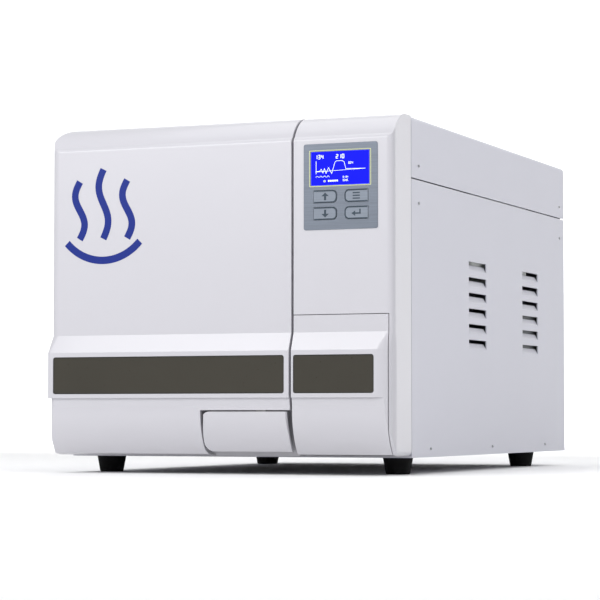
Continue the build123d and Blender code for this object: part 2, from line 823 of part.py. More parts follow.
with BuildPart() as hinge_brackets:
    for level, _ in arm_levels:
        top = level + hinge_arm
        rod((hinge_x, hinge_y, level), (hinge_x, hinge_y, top), hinge_eye_r)
        block((hinge_x, arm_y[0] + 1, level), (leg_x[1], arm_y[1], top))
        block((leg_x[0], arm_y[0] + 1, level), (leg_x[1], bulkhead_y, top))
        block((leg_x[0], bulkhead_y - 3, level - 2), (leg_x[1] + 14, bulkhead_y, top + 2))
        rod((hinge_x, hinge_y, level - 1), (hinge_x, hinge_y, top + 1), hinge_pin_r, mode=Mode.SUBTRACT)
write(hinge_brackets.part, "hinge_brackets")

with BuildPart() as hinge_pins:
    for (level, outward), (low, high) in zip(arm_levels, knuckles):
        top = level + hinge_arm
        shank = (low + 1, top) if outward > 0 else (level, high - 1)
        rod((hinge_x, hinge_y, shank[0]), (hinge_x, hinge_y, shank[1]), hinge_pin_r)
        head = (top, top + 2) if outward > 0 else (level - 2, level)
        rod((hinge_x, hinge_y, head[0]), (hinge_x, hinge_y, head[1]), hinge_eye_r - 1)
write(hinge_pins.part, "hinge_pins")

# ---- door handle and lock ----
keeper_front_y = bulkhead_y - 25.0
hook_y = (keeper_front_y, keeper_front_y + 6)
with BuildPart() as latch_keepers:
    for hook in hooks:
        low = hook + hook_height + 0.5
        block((keeper_x[0], keeper_front_y, low), (keeper_x[1], bulkhead_y, low + keeper_height))
write(latch_keepers.part, "latch_keepers")

bar_x = (lock_bar_x - lock_bar_width / 2, lock_bar_x + lock_bar_width / 2)
bar_y = (lock_bar_y, lock_bar_y + lock_bar_thickness)
lever_tip_r = 2.5
tip_y = handle_axis_y + handle_lever
bar_bottom = handle_axis_z + 5
foot_top = handle_axis_z - lever_tip_r - 0.3
side_x = (bar_x[1] - 1.5, bar_x[1] + 3.5)
with BuildPart() as lock_bar:
    block((bar_x[0], bar_y[0], bar_bottom), (bar_x[1], bar_y[1], hook_upper_z + hook_height))
    block((side_x[0], bar_y[0], foot_top - 4), (side_x[1], bar_y[1], bar_bottom + 8))
    block((bar_x[0], tip_y - 8, foot_top - 4), (side_x[1], tip_y + 3, foot_top))
    for hook in hooks:
        block((bar_x[0], bar_y[0], hook), (bar_x[1], hook_y[1], hook + hook_height))
        block((bar_x[0], hook_y[0], hook), (keeper_x[1] - 3, hook_y[1], hook + hook_height))
write(lock_bar.part, "lock_bar")

handle_cavity = door_form(handle_wall)
with BuildPart() as door_handle:
    add(door_outer)
    panel((handle_left, front_y - 1, handle_bottom), (handle_right + 30, pocket_y - 2, handle_top), handle_corner, mode=Mode.INTERSECT)
    block((handle_left, front_y - 1, handle_bottom), (handle_right, pocket_y - 2, handle_top), mode=Mode.INTERSECT)
    with BuildSketch(Plane.XY.offset(handle_bottom)) as grip:
        with Locations(((handle_left + handle_right) / 2, front_y + 40)):
            RectangleRounded(handle_right - handle_left, 85, 14)
    extrude(grip.sketch, amount=60, mode=Mode.INTERSECT)
    add(handle_cavity, mode=Mode.SUBTRACT)
    for low_x, high_x in ear_x:
        rod(
            (low_x - 0.7, handle_axis_y, handle_axis_z),
            (high_x + 0.7, handle_axis_y, handle_axis_z),
            ear_r + 0.6,
            mode=Mode.SUBTRACT,
        )
    for low_x, high_x in lug_x:
        rod((low_x, handle_axis_y, handle_axis_z), (high_x, handle_axis_y, handle_axis_z), lug_r)
    rod(
        (ear_x[0][0], handle_axis_y, handle_axis_z),
        (lug_x[1][1], handle_axis_y, handle_axis_z),
        handle_rod_r,
        mode=Mode.SUBTRACT,
    )
write(door_handle.part, "door_handle")

with BuildPart() as handle_rod:
    rod((ear_x[0][0], handle_axis_y, handle_axis_z), (lug_x[1][1], handle_axis_y, handle_axis_z), handle_rod_r)
    block((lock_bar_x - 2, handle_axis_y, handle_axis_z - 1.3), (lock_bar_x + 1, tip_y, handle_axis_z + 1.3))
    rod((lock_bar_x - 5, tip_y, handle_axis_z), (lock_bar_x + 3.5, tip_y, handle_axis_z), lever_tip_r)
write(handle_rod.part, "handle_rod")

# ---- pressure chamber ----
head_thickness = 5.0
with BuildPart() as chamber_vessel:
    rod((chamber_x, bulkhead_y, chamber_z), (chamber_x, chamber_back_y + head_thickness, chamber_z), vessel_r)
    fillet(chamber_vessel.edges().group_by(Axis.Y)[-1], 4)
    rod((chamber_x, flange_front_y, chamber_z), (chamber_x, bulkhead_y, chamber_z), flange_r)
    rod(
        (chamber_x, flange_front_y - 1, chamber_z),
        (chamber_x, chamber_back_y, chamber_z),
        chamber_r,
        mode=Mode.SUBTRACT,
    )
write(chamber_vessel.part, "chamber_vessel")

heater_front_y = -60.0
heater_back_y = 90.0
heater_r = vessel_r + loose + heater_thickness
with BuildPart() as heater_band:
    tube(
        (chamber_x, heater_front_y, chamber_z),
        (chamber_x, heater_back_y, chamber_z),
        heater_r,
        vessel_r + loose,
    )
write(heater_band.part, "heater_band")

with BuildPart() as chamber_insulation:
    tube(
        (chamber_x, bulkhead_y + bulkhead_thickness + loose, chamber_z),
        (chamber_x, chamber_back_y - 10, chamber_z),
        heater_r + loose + insulation_thickness,
        heater_r + loose,
    )
write(chamber_insulation.part, "chamber_insulation")

rack_front_y = flange_front_y + 12
rack_back_y = chamber_back_y - 6
rack_rail_x = 84.0
rack_rail_r = 2.0
rack_strip = 2.5
tray_levels = (-62.0, -8.0, 46.0)
rack_half_height = 78.0
with BuildPart() as tray_rack:
    for side in (-1, 1):
        x = chamber_x + side * rack_rail_x
        outer = sorted((x + side * 1.0, x + side * (1.0 + rack_strip)))
        for y in (rack_front_y, rack_back_y - 12):
            block(
                (outer[0], y, chamber_z - rack_half_height),
                (outer[1], y + 12, chamber_z + rack_half_height),
            )
        for level in tray_levels:
            z = chamber_z + level - rack_rail_r
            rod((x, rack_front_y, z), (x, rack_back_y, z), rack_rail_r)
    for y in (rack_front_y, rack_back_y - 12):
        for end in (-1, 1):
            z = chamber_z + end * (rack_half_height - rack_strip / 2)
            half = rack_rail_x + 1.0 + rack_strip
            block(
                (chamber_x - half, y, z - rack_strip / 2),
                (chamber_x + half, y + 12, z + rack_strip / 2),
            )
write(tray_rack.part, "tray_rack")

tray_half_width = 83.0
tray_rim = 10.0
tray_sheet = 1.0
for number, level in enumerate(tray_levels, start=1):
    with BuildPart() as tray:
        low = (chamber_x - tray_half_width, rack_front_y + 4, chamber_z + level)
        high = (chamber_x + tray_half_width, rack_back_y - 4, chamber_z + level + tray_rim)
        block(low, high)
        fillet(tray.edges().filter_by(Axis.Z), 8)
        with BuildSketch(Plane.XY.offset(low[2] + tray_sheet)) as inside:
            with Locations(((low[0] + high[0]) / 2, (low[1] + high[1]) / 2)):
                RectangleRounded(high[0] - low[0] - 2 * tray_sheet, high[1] - low[1] - 2 * tray_sheet, 7)
        extrude(amount=tray_rim, mode=Mode.SUBTRACT)
        with BuildSketch(Plane.XY.offset(low[2] - 1)):
            with Locations(((low[0] + high[0]) / 2, (low[1] + high[1]) / 2)):
                with GridLocations(24, 36, 6, 11):
                    SlotOverall(16, 5)
        extrude(amount=tray_sheet + 2, mode=Mode.SUBTRACT)
    write(tray.part, f"tray_{number}")

# ---- service bay behind the flap ----
bay_plate_front_y = bulkhead_y + bulkhead_thickness
bay_plate_thickness = 2.0
coupling_x = (132.0, 182.0)
coupling_z = 75.0
coupling_body_r = 9.0
coupling_body = 14.0
coupling_spigot_r = 4.75
coupling_spigot = 20.0
filter_x = 157.0
filter_z = 140.0
filter_r = 20.0
with BuildPart() as service_plate:
    block(
        (bay_left - 4, bay_plate_front_y, 36),
        (bay_right + 4, bay_plate_front_y + bay_plate_thickness, 184),
    )
    for x in coupling_x:
        rod(
            (x, bay_plate_front_y - 1, coupling_z),
            (x, bay_plate_front_y + 5, coupling_z),
            coupling_spigot_r,
            mode=Mode.SUBTRACT,
        )
    rod(
        (filter_x, bay_plate_front_y - 1, filter_z),
        (filter_x, bay_plate_front_y + 5, filter_z),
        coupling_spigot_r,
        mode=Mode.SUBTRACT,
    )
write(service_plate.part, "service_plate")

with BuildPart() as drain_couplings:
    for x in coupling_x:
        body_y = bay_plate_front_y - coupling_body
        rod((x, body_y, coupling_z), (x, bay_plate_front_y, coupling_z), coupling_body_r)
        rod((x, body_y - coupling_spigot, coupling_z), (x, body_y, coupling_z), coupling_spigot_r)
        rod((x, bay_plate_front_y, coupling_z), (x, bay_plate_front_y + 12, coupling_z), coupling_spigot_r)
write(drain_couplings.part, "drain_couplings")

with BuildPart() as air_filter:
    rod((filter_x, bay_plate_front_y - 36, filter_z), (filter_x, bay_plate_front_y - 10, filter_z), filter_r)
    fillet(air_filter.edges(), 3)
    rod((filter_x, bay_plate_front_y - 10, filter_z), (filter_x, bay_plate_front_y + 12, filter_z), coupling_spigot_r)
write(air_filter.part, "air_filter")

# ---- water side ----
tank_wall = 2.5
tank_low = (105.0, -40.0, 250.0)
tank_high = (half_w - 8, 200.0, 396.0)
neck_r = 26.0
cap_bottom_z = overall_height - cap_depth
with BuildPart() as clean_water_tank:
    block(tank_low, tank_high)
    fillet(clean_water_tank.edges().filter_by(Axis.Z), 6)
    rod((cap_x, cap_y, tank_high[2]), (cap_x, cap_y, cap_bottom_z), neck_r)
    block([a + tank_wall for a in tank_low], [a - tank_wall for a in tank_high], mode=Mode.SUBTRACT)
    rod((cap_x, cap_y, tank_high[2] - 5), (cap_x, cap_y, cap_bottom_z + 1), neck_r - tank_wall, mode=Mode.SUBTRACT)
write(clean_water_tank.part, "clean_water_tank")

with BuildPart() as filler_cap:
    rod((cap_x, cap_y, cap_bottom_z), (cap_x, cap_y, overall_height), cap_r)
    fillet(filler_cap.edges().group_by(Axis.Z)[-1], 1)
    for side in (-1, 1):
        low_y = cap_y + (5 if side > 0 else -19)
        block((cap_x - 16, low_y, overall_height - 5), (cap_x + 16, low_y + 14, overall_height + 1), mode=Mode.SUBTRACT)
write(filler_cap.part, "filler_cap")

waste_low = (-90.0, 190.0, 30.0)
waste_high = (90.0, 300.0, 165.0)
with BuildPart() as waste_water_tank:
    block(waste_low, waste_high)
    fillet(waste_water_tank.edges().filter_by(Axis.Z), 6)
    block([a + tank_wall for a in waste_low], [a - tank_wall for a in waste_high], mode=Mode.SUBTRACT)
    rod((60, 250, waste_high[2] - 5), (60, 250, waste_high[2] + 1), 10, mode=Mode.SUBTRACT)
write(waste_water_tank.part, "waste_water_tank")

generator_x = -150.0
generator_y = 262.0
generator_r = 45.0
with BuildPart() as steam_generator:
    rod((generator_x, generator_y, 40), (generator_x, generator_y, 230), generator_r)
    fillet(steam_generator.edges(), 6)
    rod((generator_x, generator_y, 130), (generator_x, generator_y, 136), generator_r + 6)
    rod((generator_x, generator_y, body_z + floor_thickness), (generator_x, generator_y, 41), 12)
write(steam_generator.part, "steam_generator")

condenser_y = (212.0, 250.0)
with BuildPart() as condenser:
    block((-80, condenser_y[0] + 4, 215), (40, condenser_y[1] - 4, 365))
    for step in range(13):
        x = -80 + 9.9 * step
        block((x, condenser_y[0], 215), (x + 1.2, condenser_y[1], 365))
write(condenser.part, "condenser")

fan_front_y = rear_y - sheet - fan_depth
fan_blades = 7
hub_r = 19.0
with BuildPart() as fan_frame:
    half = fan_size / 2
    panel((fan_x - half, fan_front_y, fan_z - half), (fan_x + half, fan_front_y + fan_depth, fan_z + half), 5)
    rod((fan_x, fan_front_y - 1, fan_z), (fan_x, rear_y, fan_z), fan_bore_r, mode=Mode.SUBTRACT)
    rod((fan_x, rear_y - sheet - 5, fan_z), (fan_x, rear_y - sheet, fan_z), hub_r)
    for low, high in (((-fan_bore_r - 1, -2), (fan_bore_r + 1, 2)), ((-2, -fan_bore_r - 1), (2, fan_bore_r + 1))):
        block(
            (fan_x + low[0], rear_y - sheet - 4, fan_z + low[1]),
            (fan_x + high[0], rear_y - sheet, fan_z + high[1]),
        )
write(fan_frame.part, "fan_frame")

with BuildPart() as fan_impeller:
    rod((fan_x, fan_front_y + 2, fan_z), (fan_x, rear_y - sheet - 6, fan_z), hub_r)
    for blade in range(fan_blades):
        turn = 360.0 / fan_blades * blade
        with BuildSketch(
            Plane(
                origin=(fan_x, fan_front_y + 10, fan_z),
                x_dir=(-sin(radians(turn)), 0, cos(radians(turn))),
                z_dir=(cos(radians(turn)), 0, sin(radians(turn))),
            )
        ) as section:
            Rectangle(22, 2.5, rotation=35)
        extrude(section.sketch, amount=fan_bore_r - 2)
write(fan_impeller.part, "fan_impeller")

# ---- pumps, valves and electrics ----
pump_z = 78.0
with BuildPart() as vacuum_pump:
    block((110, -110, bulkhead_low), (205, 70, bulkhead_low + 8))
    block((150, -100, bulkhead_low + 7), (166, 60, 50))
    rod((158, -40, pump_z), (158, 60, pump_z), 38)
    block((122, -105, 45), (194, -40, 130))
    for y in (-25, -5, 15, 35):
        rod((158, y, pump_z), (158, y + 8, pump_z), 41)
write(vacuum_pump.part, "vacuum_pump")

with BuildPart() as solenoid_valves:
    block((105, 105, bulkhead_low), (205, 140, 60))
    for x in (118, 142, 166, 190):
        rod((x, 122, 60), (x, 122, 98), 10)
        block((x - 8, 112, 66), (x + 8, 132, 88))
write(solenoid_valves.part, "solenoid_valves")

with BuildPart() as power_supply:
    block((125, 175, 150), (inner_w - 6, 300, 212))
    block((140, 190, 212), (210, 285, 216))
write(power_supply.part, "power_supply")

board_x = 200.0
with BuildPart() as control_board:
    block((board_x, -262, 195), (board_x + 1.6, -70, 335))
    for y, z, r, height in ((-230, 310, 8, 18), (-205, 310, 8, 18), (-180, 310, 6, 14), (-100, 220, 9, 22)):
        rod((board_x - height, y, z), (board_x, y, z), r)
    for y, z in ((-240, 215), (-215, 215), (-190, 215), (-165, 215)):
        block((board_x - 16, y - 9, z - 8), (board_x, y + 9, z + 8))
    block((board_x - 8, -150, 250), (board_x, -110, 290))
    for y in (-255, -77):
        for z in (202, 328):
            rod((board_x + 1.6, y, z), (inner_w, y, z), 3)
write(control_board.part, "control_board")

inlet_flange = 3.0
inlet_depth = 24.0
socket_width = 27.0
socket_height = 19.0
socket_depth = 17.0
pin_size = (2.0, 4.0)
rocker_pivot_y = rear_y - 1.0
rocker_half_width = 10.0
rocker_half_height = 6.5
with BuildPart() as mains_inlet:
    panel(
        (inlet_x - inlet_width / 2, rear_y, inlet_z - inlet_height / 2),
        (inlet_x + inlet_width / 2, rear_y + inlet_flange, switch_z + 14),
        3,
    )
    panel(
        (inlet_x - inlet_width / 2 + 6, rear_y - inlet_depth, inlet_z - inlet_height / 2 + 2),
        (inlet_x + inlet_width / 2 - 6, rear_y, inlet_z + inlet_height / 2 - 2),
        1.5,
    )
    block((switch_x - 12.6, rear_y - 14, switch_z - 9), (switch_x + 12.6, rear_y, switch_z + 9))
    panel(
        (inlet_x - socket_width / 2, rear_y + inlet_flange - socket_depth, inlet_z - socket_height / 2),
        (inlet_x + socket_width / 2, rear_y + inlet_flange + 1, inlet_z + socket_height / 2),
        2,
        mode=Mode.SUBTRACT,
    )
    block(
        (switch_x - rocker_half_width - 0.4, rear_y - 10, switch_z - rocker_half_height - 1.4),
        (switch_x + rocker_half_width + 0.4, rear_y + inlet_flange + 1, switch_z + rocker_half_height + 1.4),
        mode=Mode.SUBTRACT,
    )
    for x, z in ((-7, -1.5), (7, -1.5), (0, 3)):
        block(
            (inlet_x + x - pin_size[0] / 2, rear_y + inlet_flange - socket_depth, inlet_z + z - pin_size[1] / 2),
            (inlet_x + x + pin_size[0] / 2, rear_y - 2, inlet_z + z + pin_size[1] / 2),
        )
write(mains_inlet.part, "mains_inlet")

with BuildPart() as mains_rocker:
    with BuildSketch(Plane.YZ.offset(switch_x - rocker_half_width)):
        with BuildLine():
            Polyline(
                (rocker_pivot_y - 5, switch_z - 4),
                (rocker_pivot_y - 5, switch_z + 4),
                (rocker_pivot_y, switch_z + rocker_half_height),
                (rocker_pivot_y + 4.5, switch_z + rocker_half_height),
                (rocker_pivot_y + 4, switch_z),
                (rocker_pivot_y + 6, switch_z - rocker_half_height),
                (rocker_pivot_y, switch_z - rocker_half_height),
                close=True,
            )
        make_face()
    extrude(amount=2 * rocker_half_width)
write(mains_rocker.part, "mains_rocker")

with BuildPart() as safety_valve:
    rod((valve_x, rear_y - 60, valve_z), (valve_x, rear_y + 9, valve_z), 7.5)
    rod((valve_x, rear_y, valve_z), (valve_x, rear_y + 4, valve_z), 12)
    rod((valve_x, rear_y - 62, valve_z), (valve_x, rear_y - 40, valve_z), 11)
write(safety_valve.part, "safety_valve")

pipe_r = 4.0
pipe_routes = (
    ((generator_x, generator_y, 230), (generator_x, generator_y, 262), (generator_x, 200, 262),
     (generator_x, 200, 240), (-110, 200, 240), (-110, chamber_back_y + head_thickness, 240)),
    ((-20, condenser_y[0], 230), (-20, 195, 230), (-20, 195, 200), (-20, chamber_back_y + head_thickness, 200)),
)
with BuildPart() as steam_pipes:
    for route in pipe_routes:
        for start, end in zip(route, route[1:]):
            rod(start, end, pipe_r)
        for corner in route[1:-1]:
            with Locations(corner):
                Sphere(pipe_r)
write(steam_pipes.part, "steam_pipes")
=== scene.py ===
"""Looks of the benchtop autoclave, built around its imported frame.

Blender works in metres. The front faces -Y, and places on it are given in millimetres as (x, z).
"""

import json
import math

import bmesh
import bpy
from mathutils import Matrix, Vector


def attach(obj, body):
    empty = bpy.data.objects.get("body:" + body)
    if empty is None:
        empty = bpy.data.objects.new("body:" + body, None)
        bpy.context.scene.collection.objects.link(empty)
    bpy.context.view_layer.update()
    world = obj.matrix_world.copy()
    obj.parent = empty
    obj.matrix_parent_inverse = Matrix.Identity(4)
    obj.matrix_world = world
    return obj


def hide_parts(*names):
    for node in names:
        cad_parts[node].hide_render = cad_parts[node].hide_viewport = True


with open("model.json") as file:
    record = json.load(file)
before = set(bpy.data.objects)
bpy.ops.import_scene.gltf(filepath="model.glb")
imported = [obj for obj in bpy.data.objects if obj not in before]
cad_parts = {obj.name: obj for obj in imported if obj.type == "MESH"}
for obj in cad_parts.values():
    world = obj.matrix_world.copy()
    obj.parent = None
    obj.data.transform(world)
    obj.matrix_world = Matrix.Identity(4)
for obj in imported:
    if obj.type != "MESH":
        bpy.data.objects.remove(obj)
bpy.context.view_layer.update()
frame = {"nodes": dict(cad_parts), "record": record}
MM = 0.001

# ---- places shared with the frame, in millimetres ----
FACE_Y = -342.0  # upper front face
PLATE_Y = -342.5  # key plate's front
KEY_Y = -343.0  # keys' fronts
WINDOW_Y = -342.3  # display window's front
STRIP_Y = -349.4  # trim strips' fronts
WINDOW = (121.5, 193.2, 336.0, 374.5)  # left, right, bottom, top, as in every box here
DOOR_STRIP = (-213.5, 90.0, 95.0, 139.5)
FLAP_STRIP = (101.5, 201.5, 95.0, 139.5)
KEYS = (  # node, middle x, middle z, side with the round corners
    ("key_up", 139.0, 322.5, 1),
    ("key_menu", 177.7, 322.5, -1),
    ("key_down", 139.0, 302.8, 1),
    ("key_enter", 177.7, 302.8, -1),
)
KEY_W, KEY_H, KEY_R = 28.8, 14.4, 5.5

# ---- materials ----
EVEN = (1, 1, 1)
BRUSHED_X = (0.02, 1, 1)  # draws the grain out along X
FINE_DETAIL = 4.0
DRIFT_SCALE, DRIFT_DETAIL = 9.0, 2.0
ROUGH_SPREAD, LEAST_ROUGH = 0.06, 0.02
COAT_ROUGH = 0.08
EDGE_SAMPLES = 4


def noise(tree, vector, scale, detail):
    """The value of a noise texture read along a vector output."""
    texture = tree.nodes.new("ShaderNodeTexNoise")
    texture.inputs["Scale"].default_value = scale
    texture.inputs["Detail"].default_value = detail
    tree.links.new(vector, texture.inputs["Vector"])
    return texture.outputs["Fac"]


def finish(
    name,
    colour,
    rough,
    grain,
    metal=0.0,
    bump=0.1,
    depth=0.1,
    stretch=EVEN,
    vary=0.05,
    coat=0.0,
    edge=0.0,
    glow=0.0,
    second=None,
    shine=0.5,
):
    """A finish with colour drift, uneven gloss and a fine grain; depth and edge are in mm."""
    material = bpy.data.materials.new(name)
    material.use_nodes = True
    tree = material.node_tree
    nodes, links = tree.nodes, tree.links
    shader = nodes["Principled BSDF"]
    shader.inputs["Metallic"].default_value = metal
    shader.inputs["Coat Weight"].default_value = coat
    shader.inputs["Coat Roughness"].default_value = COAT_ROUGH
    shader.inputs["Specular IOR Level"].default_value = shine

    place = nodes.new("ShaderNodeTexCoord")
    mapping = nodes.new("ShaderNodeMapping")
    mapping.inputs["Scale"].default_value = stretch
    links.new(place.outputs["Object"], mapping.inputs["Vector"])
    fine = noise(tree, mapping.outputs["Vector"], grain, FINE_DETAIL)
    broad = noise(tree, place.outputs["Object"], DRIFT_SCALE, DRIFT_DETAIL)

    mix = nodes.new("ShaderNodeMix")
    mix.data_type = "RGBA"
    dark = [c * (1 - vary) for c in colour]
    light = [min(1.0, c * (1 + vary)) for c in (second or colour)]
    mix.inputs["A"].default_value = (*dark, 1)
    mix.inputs["B"].default_value = (*light, 1)
    links.new(fine if stretch != EVEN or second else broad, mix.inputs["Factor"])
    links.new(mix.outputs["Result"], shader.inputs["Base Color"])
    if glow:
        links.new(mix.outputs["Result"], shader.inputs["Emission Color"])
        shader.inputs["Emission Strength"].default_value = glow

    gloss = nodes.new("ShaderNodeMapRange")
    gloss.inputs["To Min"].default_value = max(LEAST_ROUGH, rough - ROUGH_SPREAD)
    gloss.inputs["To Max"].default_value = min(1.0, rough + ROUGH_SPREAD)
    links.new(fine, gloss.inputs["Value"])
    links.new(gloss.outputs["Result"], shader.inputs["Roughness"])

    relief = nodes.new("ShaderNodeBump")
    relief.inputs["Strength"].default_value = bump
    relief.inputs["Distance"].default_value = depth * MM
    links.new(fine, relief.inputs["Height"])
    if edge:
        soft = nodes.new("ShaderNodeBevel")
        soft.samples = EDGE_SAMPLES
        soft.inputs["Radius"].default_value = edge * MM
        links.new(soft.outputs["Normal"], relief.inputs["Normal"])
    links.new(relief.outputs["Normal"], shader.inputs["Normal"])
    return material


# One finish for each material slot of the record: name, colour, roughness, grain.
SLOTS = {
    # outside
    "moulding_plastic": finish(
        "moulding", (0.53, 0.523, 0.56), 0.30, 700, bump=0.05, coat=0.2, edge=0.5, vary=0.015
    ),
    "powder_coated_sheet": finish(
        "powder_coat", (0.53, 0.53, 0.59), 0.48, 1400, bump=0.2, edge=0.5, vary=0.015
    ),
    "smoked_plastic": finish(
        "smoked_strip", (0.040, 0.036, 0.027), 0.30, 500, bump=0.01, vary=0.10, shine=0.3
    ),
    "brushed_plate": finish(
        "brushed_plate",
        (0.145, 0.165, 0.20),
        0.42,
        900,
        metal=0.6,
        bump=0.25,
        stretch=BRUSHED_X,
        vary=0.25,
    ),
    "key_plastic": finish(
        "key_face",
        (0.18, 0.205, 0.245),
        0.45,
        900,
        metal=0.5,
        bump=0.2,
        stretch=BRUSHED_X,
        vary=0.2,
    ),
    "lcd_glass": finish(
        "display_blue", (0.002, 0.004, 0.80), 0.45, 1200, bump=0.02, vary=0.04, glow=0.75, shine=0.08
    ),
    "foot_rubber": finish(
        "foot_rubber", (0.005, 0.005, 0.0055), 0.75, 900, bump=0.4, edge=0.6, vary=0.2, shine=0.15
    ),
    "cap_plastic": finish(
        "cap_plastic", (0.10, 0.20, 0.46), 0.4, 800, bump=0.12, edge=0.4, vary=0.08
    ),
    "black_plastic": finish(
        "black_plastic", (0.018, 0.018, 0.02), 0.42, 900, bump=0.2, edge=0.4, vary=0.15
    ),
    # metals
    "zinc_steel": finish(
        "zinc_steel", (0.60, 0.60, 0.58), 0.32, 1100, metal=1.0, bump=0.12, edge=0.3, vary=0.1
    ),
    "stainless_steel": finish(
        "stainless",
        (0.62, 0.62, 0.61),
        0.26,
        900,
        metal=1.0,
        bump=0.12,
        stretch=BRUSHED_X,
        vary=0.06,
    ),
    "tray_aluminium": finish(
        "aluminium", (0.72, 0.73, 0.74), 0.38, 1000, metal=1.0, bump=0.15, vary=0.06, edge=0.3
    ),
    "brass": finish("brass", (0.66, 0.46, 0.18), 0.3, 900, metal=1.0, vary=0.1, edge=0.3),
    "copper": finish("copper", (0.72, 0.36, 0.22), 0.3, 800, metal=1.0, vary=0.12),
    "pump_casting": finish(
        "casting", (0.22, 0.23, 0.24), 0.6, 420, metal=0.3, bump=0.6, depth=0.4, vary=0.15
    ),
    # soft and inner materials
    "silicone_rubber": finish("silicone", (0.62, 0.30, 0.20), 0.55, 900, bump=0.2, vary=0.06),
    "heater_silicone": finish("heater", (0.50, 0.14, 0.06), 0.6, 700, bump=0.3, vary=0.1),
    "insulation_fabric": finish(
        "insulation", (0.70, 0.68, 0.62), 0.9, 350, bump=0.8, depth=0.8, vary=0.12
    ),
    "tank_plastic": finish("tank", (0.74, 0.76, 0.74), 0.5, 500),
    "filter_plastic": finish("filter_plastic", (0.80, 0.80, 0.78), 0.45, 700),
    "circuit_board": finish(
        "circuit_board",
        (0.01, 0.11, 0.05),
        0.4,
        260,
        bump=0.3,
        vary=0.2,
        second=(0.03, 0.20, 0.09),
    ),
}
navy = finish("print_navy", (0.012, 0.03, 0.05), 0.5, 900, vary=0.1)
emblem_blue = finish("print_blue", (0.008, 0.022, 0.20), 0.4, 900, bump=0.06, vary=0.06, shine=0.2)
white_pixels = finish(
    "display_white", (0.72, 0.78, 1.0), 0.4, 1500, bump=0.02, vary=0.04, glow=0.7
)
pale_yellow = finish("print_pale", (0.55, 0.58, 0.30), 0.5, 900, bump=0.05, vary=0.08)
strip_edge = finish("strip_edge", (0.014, 0.013, 0.010), 0.3, 700, bump=0.05, vary=0.1)
# a near-black that paints the shade inside the screw heads' sunk centres
painted_recess_shade = finish("screw_recess_painted_shade", (0.03, 0.03, 0.032), 0.6, 900, bump=0.2, vary=0.2)
floor_white = finish("floor_paper", (0.90, 0.90, 0.90), 0.85, 300, bump=0.05, vary=0.01)

for row in frame["record"]["subparts"]:
    node = frame["nodes"][row["node"]]
    node.data.materials.clear()
    node.data.materials.append(SLOTS[row["material_slot"]])


# ---- meshes ----
def mesh_object(name, bm, materials):
    """Turn a bmesh into an object in the scene."""
    mesh = bpy.data.meshes.new(name)
    bm.to_mesh(mesh)
    bm.free()
    for material in materials:
        mesh.materials.append(material)
    made = bpy.data.objects.new(name, mesh)
    bpy.context.scene.collection.objects.link(made)
    return made


def piece(name, bm, materials, body):
    """Turn a bmesh into a piece that rides on a body."""
    made = mesh_object(name, bm, materials)
    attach(made, body)
    return made


def prints(name, loops, face_y, rise, material, body):
    """Thin shapes standing out from a front face by rise, from loops of (x, z), all in mm."""
    bm = bmesh.new()
    for loop in loops:
        near = [bm.verts.new((x * MM, (face_y - rise) * MM, z * MM)) for x, z in loop]
        far = [bm.verts.new((x * MM, face_y * MM, z * MM)) for x, z in loop]
        bm.faces.new(near)
        bm.faces.new(far[::-1])
        for i in range(len(loop)):
            j = (i + 1) % len(loop)
            bm.faces.new((near[j], near[i], far[i], far[j]))
    bmesh.ops.recalc_face_normals(bm, faces=bm.faces)
    return piece(name, bm, [material], body)


# ---- outlines of printed shapes, in millimetres ----
SHARPEST = 0.35  # keeps a mitre from growing at a sharp corner
LEAST_CORNER = 0.3


def stroke(points, width):
    """Outline of a line of even width along points, mitred at its corners."""
    left, right = [], []
    for i, (x, z) in enumerate(points):
        before = Vector(points[i]) - Vector(points[i - 1]) if i else None
        after = Vector(points[i + 1]) - Vector(points[i]) if i < len(points) - 1 else None
        a = (before or after).normalized()
        b = (after or before).normalized()
        along = (a + b).normalized()
        across = Vector((-along.y, along.x))
        reach = width / 2 / max(SHARPEST, across.dot(Vector((-a.y, a.x))))
        left.append((x + across.x * reach, z + across.y * reach))
        right.append((x - across.x * reach, z - across.y * reach))
    return left + right[::-1]


def arc(cx, cz, radius, start, end, steps=8):
    """Points along an arc, with angles in degrees."""
    turns = [math.radians(start + (end - start) * i / steps) for i in range(steps + 1)]
    return [(cx + radius * math.cos(t), cz + radius * math.sin(t)) for t in turns]


def wave(cx, low, high, swing, steps=24):
    """Points along a rising S-curve."""
    shares = [i / steps for i in range(steps + 1)]
    return [(cx + swing * math.sin(2 * math.pi * s), low + (high - low) * s) for s in shares]


def moved(x, z, points, up=1):
    """Points moved to (x, z), turned upside down where up is -1."""
    return [(x + px, z + up * pz) for px, pz in points]


def round_loop(box, radius, inset=0.0):
    """A rounded rectangle's points, anticlockwise from the lower right corner."""
    x0, x1, z0, z1 = box[0] + inset, box[1] - inset, box[2] + inset, box[3] - inset
    r = max(LEAST_CORNER, radius - inset)
    return (
        arc(x1 - r, z0 + r, r, -90, 0)
        + arc(x1 - r, z1 - r, r, 0, 90)
        + arc(x0 + r, z1 - r, r, 90, 180)
        + arc(x0 + r, z0 + r, r, 180, 270)
    )


def frame_loops(box, radius, inset, width):
    """A rounded frame as a row of four-sided loops."""
    outer = round_loop(box, radius, inset)
    inner = round_loop(box, radius, inset + width)
    ahead = [(i, (i + 1) % len(outer)) for i in range(len(outer))]
    return [[outer[i], outer[j], inner[j], inner[i]] for i, j in ahead]


# ---- seven-segment digits ----
SEGMENTS = {  # ends in half digit heights up and digit widths across
    "a": ((0, 2), (1, 2)),
    "b": ((1, 2), (1, 1)),
    "c": ((1, 1), (1, 0)),
    "d": ((0, 0), (1, 0)),
    "e": ((0, 1), (0, 0)),
    "f": ((0, 2), (0, 1)),
    "g": ((0, 1), (1, 1)),
}
DIGITS = {"0": "abcdef", "1": "bc", "2": "abged", "3": "abgcd", "4": "fgbc", "5": "afgcd"}
DIGIT_W, DIGIT_PITCH = 0.5, 0.85  # shares of a digit's height


